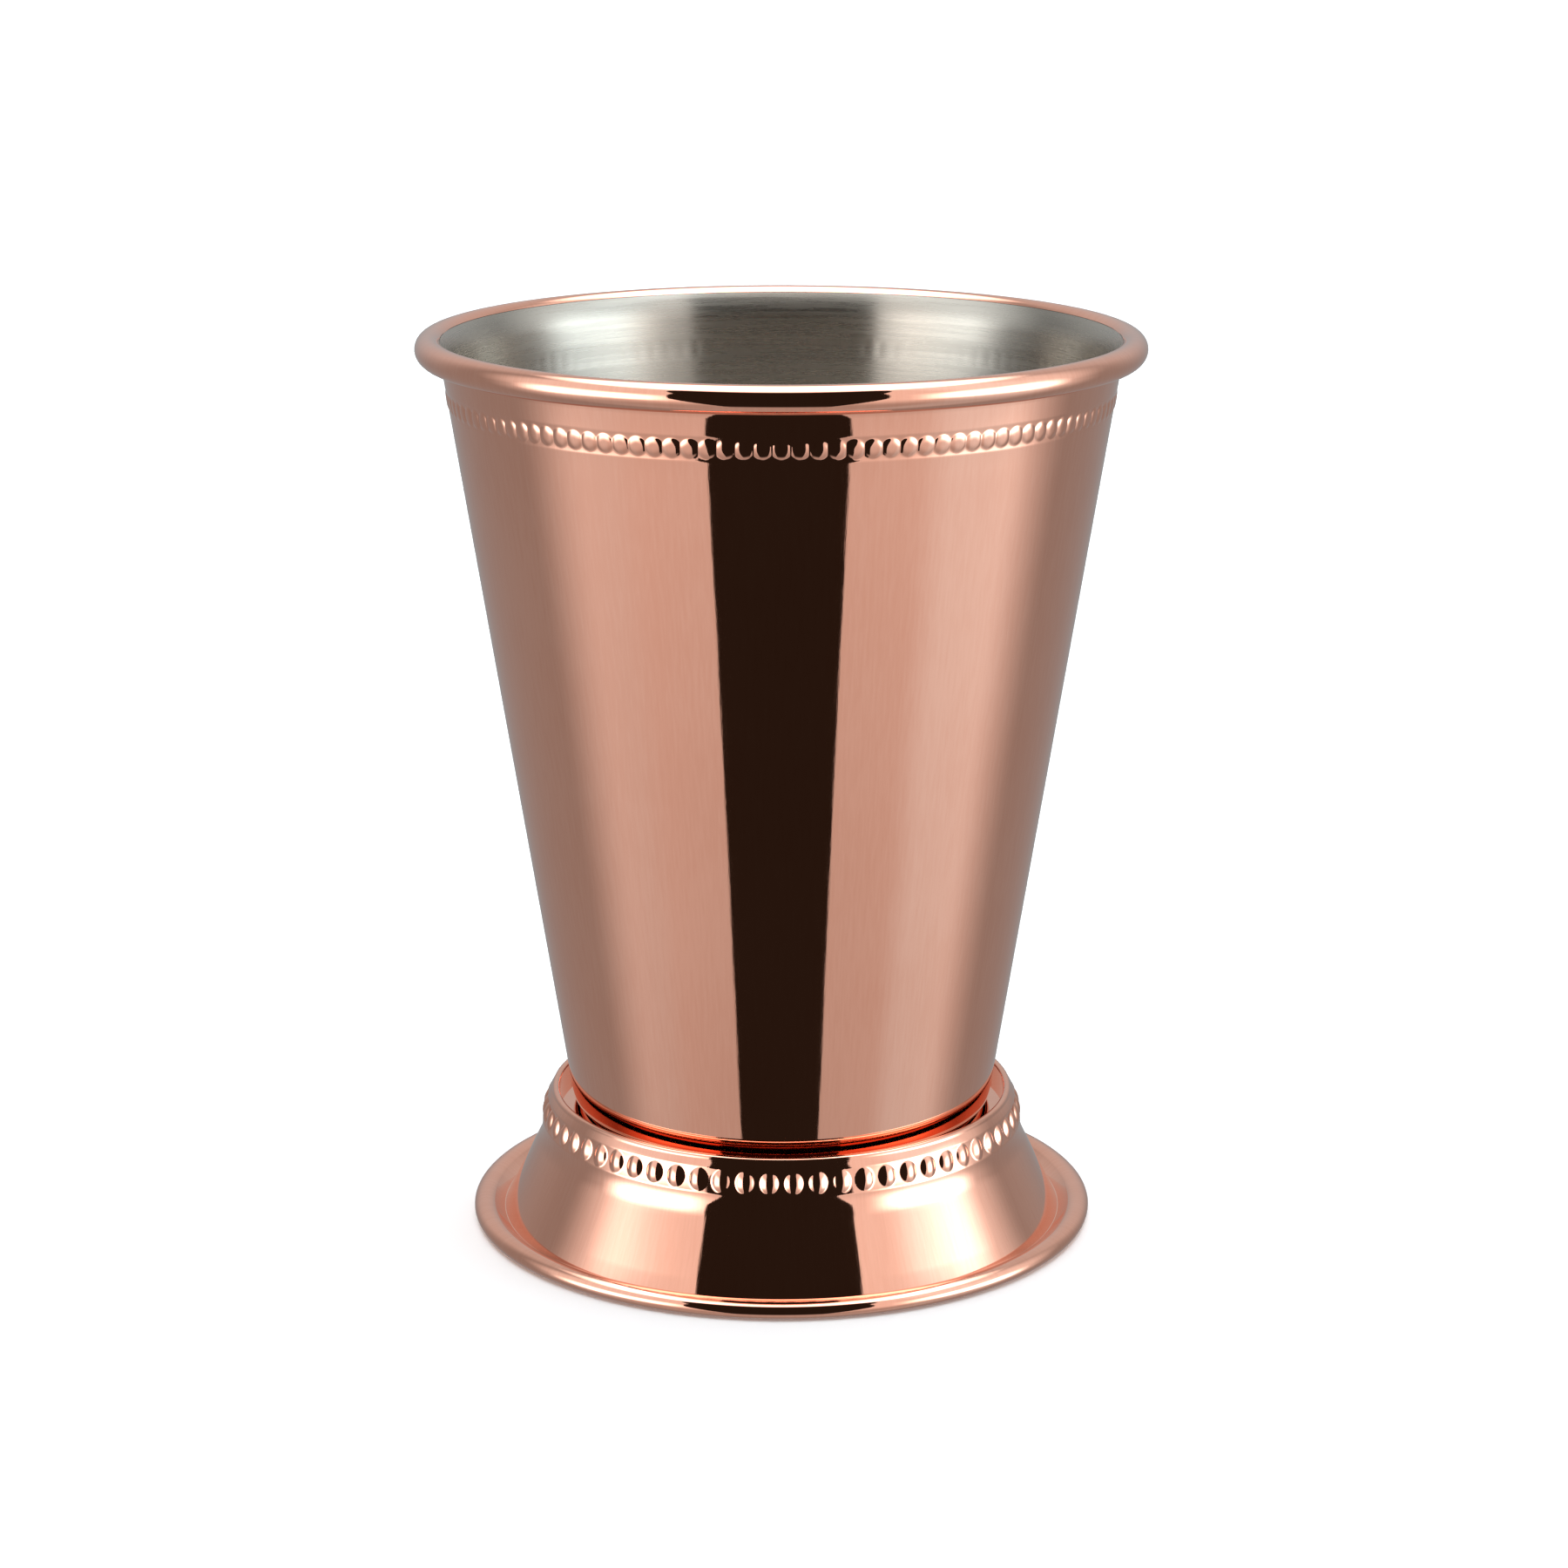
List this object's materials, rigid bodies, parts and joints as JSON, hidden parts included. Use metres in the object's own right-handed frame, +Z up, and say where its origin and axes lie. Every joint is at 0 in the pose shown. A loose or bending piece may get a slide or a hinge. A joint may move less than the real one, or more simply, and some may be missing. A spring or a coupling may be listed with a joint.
{
  "type": "julep cup",
  "caption": "Tapered metal drinking cup with a copper outside, brushed steel inside, rolled rim, beaded band and a flared spun foot with a beaded collar.",
  "frame": {"origin": "on the table, on the axis of the cup", "axes": "+Z up along the axis of the cup; the picture looks along +Y, with +X to its right"},
  "size_m": [0.0866, 0.0866, 0.11],
  "materials": {
    "copper": "polished copper",
    "steel": "brushed around the cup",
    "solder": "dull tin solder"
  },
  "bodies": {
    "root": {"copper_shell": "copper", "steel_liner": "steel", "foot": "copper", "solder_ring": "solder"}
  },
  "joints": []
}
